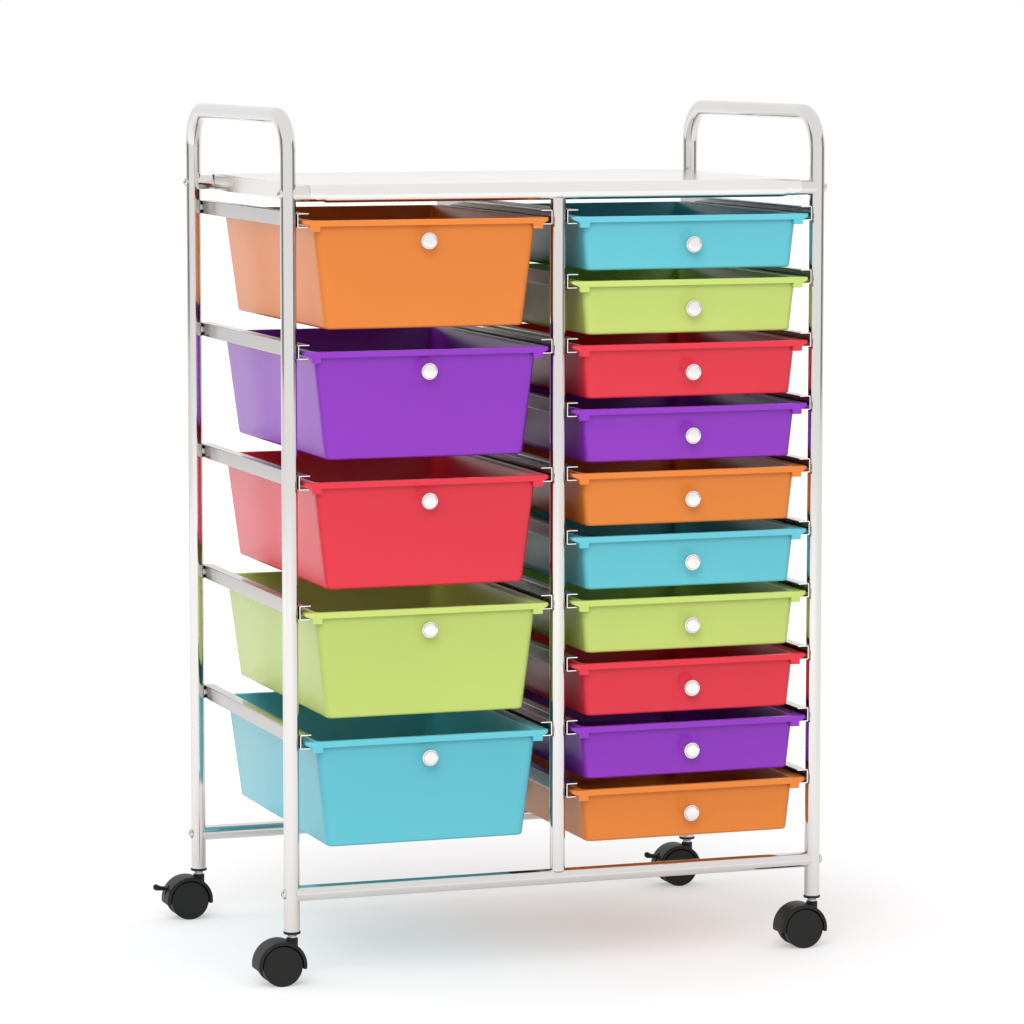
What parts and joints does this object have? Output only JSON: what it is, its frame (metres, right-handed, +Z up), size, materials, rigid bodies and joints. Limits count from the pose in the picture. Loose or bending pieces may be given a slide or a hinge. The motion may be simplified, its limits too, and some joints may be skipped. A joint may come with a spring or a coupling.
{
  "type": "rolling drawer cart",
  "caption": "Chromed tube cart on swivel casters with push handles, a flat top shelf and two banks of coloured pull-out drawers, deep ones beside shallow ones.",
  "frame": {"origin": "on the floor, midway between the four posts", "axes": "+Z up from the floor, +Y to the back, +X to the right of someone facing the drawers"},
  "size_m": [0.6725, 0.4144, 0.937],
  "materials": {
    "chrome_tube": "polished chrome plate",
    "rail_chrome": "chrome plate",
    "shelf_sheet": "chrome plated sheet",
    "bolt_steel": "bright zinc plate",
    "stem_steel": "turned steel",
    "knob_chrome": "polished chrome",
    "black_nylon": "moulded satin black",
    "orange_plastic": "smooth moulded polypropylene",
    "purple_plastic": "smooth moulded polypropylene",
    "red_plastic": "smooth moulded polypropylene",
    "green_plastic": "smooth moulded polypropylene",
    "cyan_plastic": "smooth moulded polypropylene"
  },
  "bodies": {
    "frame": {"side_frame_left": "chrome_tube", "side_frame_right": "chrome_tube", "top_tube_front": "chrome_tube", "top_tube_back": "chrome_tube", "bottom_tube_front": "chrome_tube", "bottom_tube_back": "chrome_tube", "middle_post_front": "chrome_tube", "middle_post_back": "chrome_tube", "top_shelf": "shelf_sheet", "rails_left_outer": "rail_chrome", "rails_left_inner": "rail_chrome", "rails_right_inner": "rail_chrome", "rails_right_outer": "rail_chrome", "frame_bolts": "bolt_steel", "tube_end_plugs": "black_nylon", "caster_sockets": "black_nylon", "caster_stems": "stem_steel"},
    "large_drawer_1": {"large_drawer_1": "orange_plastic", "large_knob_1": "knob_chrome"},
    "large_drawer_2": {"large_drawer_2": "purple_plastic", "large_knob_2": "knob_chrome"},
    "large_drawer_3": {"large_drawer_3": "red_plastic", "large_knob_3": "knob_chrome"},
    "large_drawer_4": {"large_drawer_4": "green_plastic", "large_knob_4": "knob_chrome"},
    "large_drawer_5": {"large_drawer_5": "cyan_plastic", "large_knob_5": "knob_chrome"},
    "small_drawer_1": {"small_drawer_1": "cyan_plastic", "small_knob_1": "knob_chrome"},
    "small_drawer_2": {"small_drawer_2": "green_plastic", "small_knob_2": "knob_chrome"},
    "small_drawer_3": {"small_drawer_3": "red_plastic", "small_knob_3": "knob_chrome"},
    "small_drawer_4": {"small_drawer_4": "purple_plastic", "small_knob_4": "knob_chrome"},
    "small_drawer_5": {"small_drawer_5": "orange_plastic", "small_knob_5": "knob_chrome"},
    "small_drawer_6": {"small_drawer_6": "cyan_plastic", "small_knob_6": "knob_chrome"},
    "small_drawer_7": {"small_drawer_7": "green_plastic", "small_knob_7": "knob_chrome"},
    "small_drawer_8": {"small_drawer_8": "red_plastic", "small_knob_8": "knob_chrome"},
    "small_drawer_9": {"small_drawer_9": "purple_plastic", "small_knob_9": "knob_chrome"},
    "small_drawer_10": {"small_drawer_10": "orange_plastic", "small_knob_10": "knob_chrome"},
    "caster_front_left": {"caster_hood_front_left": "black_nylon"},
    "wheels_front_left": {"caster_wheels_front_left": "black_nylon"},
    "caster_front_right": {"caster_hood_front_right": "black_nylon"},
    "wheels_front_right": {"caster_wheels_front_right": "black_nylon"},
    "caster_back_left": {"caster_hood_back_left": "black_nylon", "brake_pin_back_left": "stem_steel"},
    "wheels_back_left": {"caster_wheels_back_left": "black_nylon"},
    "brake_lever_back_left": {"brake_lever_back_left": "black_nylon"},
    "caster_back_right": {"caster_hood_back_right": "black_nylon", "brake_pin_back_right": "stem_steel"},
    "wheels_back_right": {"caster_wheels_back_right": "black_nylon"},
    "brake_lever_back_right": {"brake_lever_back_right": "black_nylon"}
  },
  "joints": [
    {"name": "large_drawer_1_slide", "type": "slide", "parent": "frame", "child": "large_drawer_1", "axis": [0, -1, 0], "range_m": [0, 0.25]},
    {"name": "large_drawer_2_slide", "type": "slide", "parent": "frame", "child": "large_drawer_2", "axis": [0, -1, 0], "range_m": [0, 0.25]},
    {"name": "large_drawer_3_slide", "type": "slide", "parent": "frame", "child": "large_drawer_3", "axis": [0, -1, 0], "range_m": [0, 0.25]},
    {"name": "large_drawer_4_slide", "type": "slide", "parent": "frame", "child": "large_drawer_4", "axis": [0, -1, 0], "range_m": [0, 0.25]},
    {"name": "large_drawer_5_slide", "type": "slide", "parent": "frame", "child": "large_drawer_5", "axis": [0, -1, 0], "range_m": [0, 0.25]},
    {"name": "small_drawer_1_slide", "type": "slide", "parent": "frame", "child": "small_drawer_1", "axis": [0, -1, 0], "range_m": [0, 0.25]},
    {"name": "small_drawer_2_slide", "type": "slide", "parent": "frame", "child": "small_drawer_2", "axis": [0, -1, 0], "range_m": [0, 0.25]},
    {"name": "small_drawer_3_slide", "type": "slide", "parent": "frame", "child": "small_drawer_3", "axis": [0, -1, 0], "range_m": [0, 0.25]},
    {"name": "small_drawer_4_slide", "type": "slide", "parent": "frame", "child": "small_drawer_4", "axis": [0, -1, 0], "range_m": [0, 0.25]},
    {"name": "small_drawer_5_slide", "type": "slide", "parent": "frame", "child": "small_drawer_5", "axis": [0, -1, 0], "range_m": [0, 0.25]},
    {"name": "small_drawer_6_slide", "type": "slide", "parent": "frame", "child": "small_drawer_6", "axis": [0, -1, 0], "range_m": [0, 0.25]},
    {"name": "small_drawer_7_slide", "type": "slide", "parent": "frame", "child": "small_drawer_7", "axis": [0, -1, 0], "range_m": [0, 0.25]},
    {"name": "small_drawer_8_slide", "type": "slide", "parent": "frame", "child": "small_drawer_8", "axis": [0, -1, 0], "range_m": [0, 0.25]},
    {"name": "small_drawer_9_slide", "type": "slide", "parent": "frame", "child": "small_drawer_9", "axis": [0, -1, 0], "range_m": [0, 0.25]},
    {"name": "small_drawer_10_slide", "type": "slide", "parent": "frame", "child": "small_drawer_10", "axis": [0, -1, 0], "range_m": [0, 0.25]},
    {"name": "caster_front_left_swivel", "type": "hinge", "parent": "frame", "child": "caster_front_left", "pos_m": [-0.3025, -0.19, 0.05], "axis": [0, 0, 1], "continuous": true},
    {"name": "wheels_front_left_roll", "type": "hinge", "parent": "caster_front_left", "child": "wheels_front_left", "pos_m": [-0.3165, -0.19, 0.022], "axis": [0, 1, 0], "continuous": true},
    {"name": "caster_front_right_swivel", "type": "hinge", "parent": "frame", "child": "caster_front_right", "pos_m": [0.3025, -0.19, 0.05], "axis": [0, 0, 1], "continuous": true},
    {"name": "wheels_front_right_roll", "type": "hinge", "parent": "caster_front_right", "child": "wheels_front_right", "pos_m": [0.2885, -0.19, 0.022], "axis": [0, 1, 0], "continuous": true},
    {"name": "caster_back_left_swivel", "type": "hinge", "parent": "frame", "child": "caster_back_left", "pos_m": [-0.3025, 0.19, 0.05], "axis": [0, 0, 1], "continuous": true},
    {"name": "wheels_back_left_roll", "type": "hinge", "parent": "caster_back_left", "child": "wheels_back_left", "pos_m": [-0.3165, 0.19, 0.022], "axis": [0, 1, 0], "continuous": true},
    {"name": "brake_lever_back_left_press", "type": "hinge", "parent": "caster_back_left", "child": "brake_lever_back_left", "pos_m": [-0.3288, 0.19, 0.0323], "axis": [0, -1, 0], "range_deg": [0, 20]},
    {"name": "caster_back_right_swivel", "type": "hinge", "parent": "frame", "child": "caster_back_right", "pos_m": [0.3025, 0.19, 0.05], "axis": [0, 0, 1], "continuous": true},
    {"name": "wheels_back_right_roll", "type": "hinge", "parent": "caster_back_right", "child": "wheels_back_right", "pos_m": [0.2885, 0.19, 0.022], "axis": [0, 1, 0], "continuous": true},
    {"name": "brake_lever_back_right_press", "type": "hinge", "parent": "caster_back_right", "child": "brake_lever_back_right", "pos_m": [0.2762, 0.19, 0.0323], "axis": [0, -1, 0], "range_deg": [0, 20]}
  ]
}
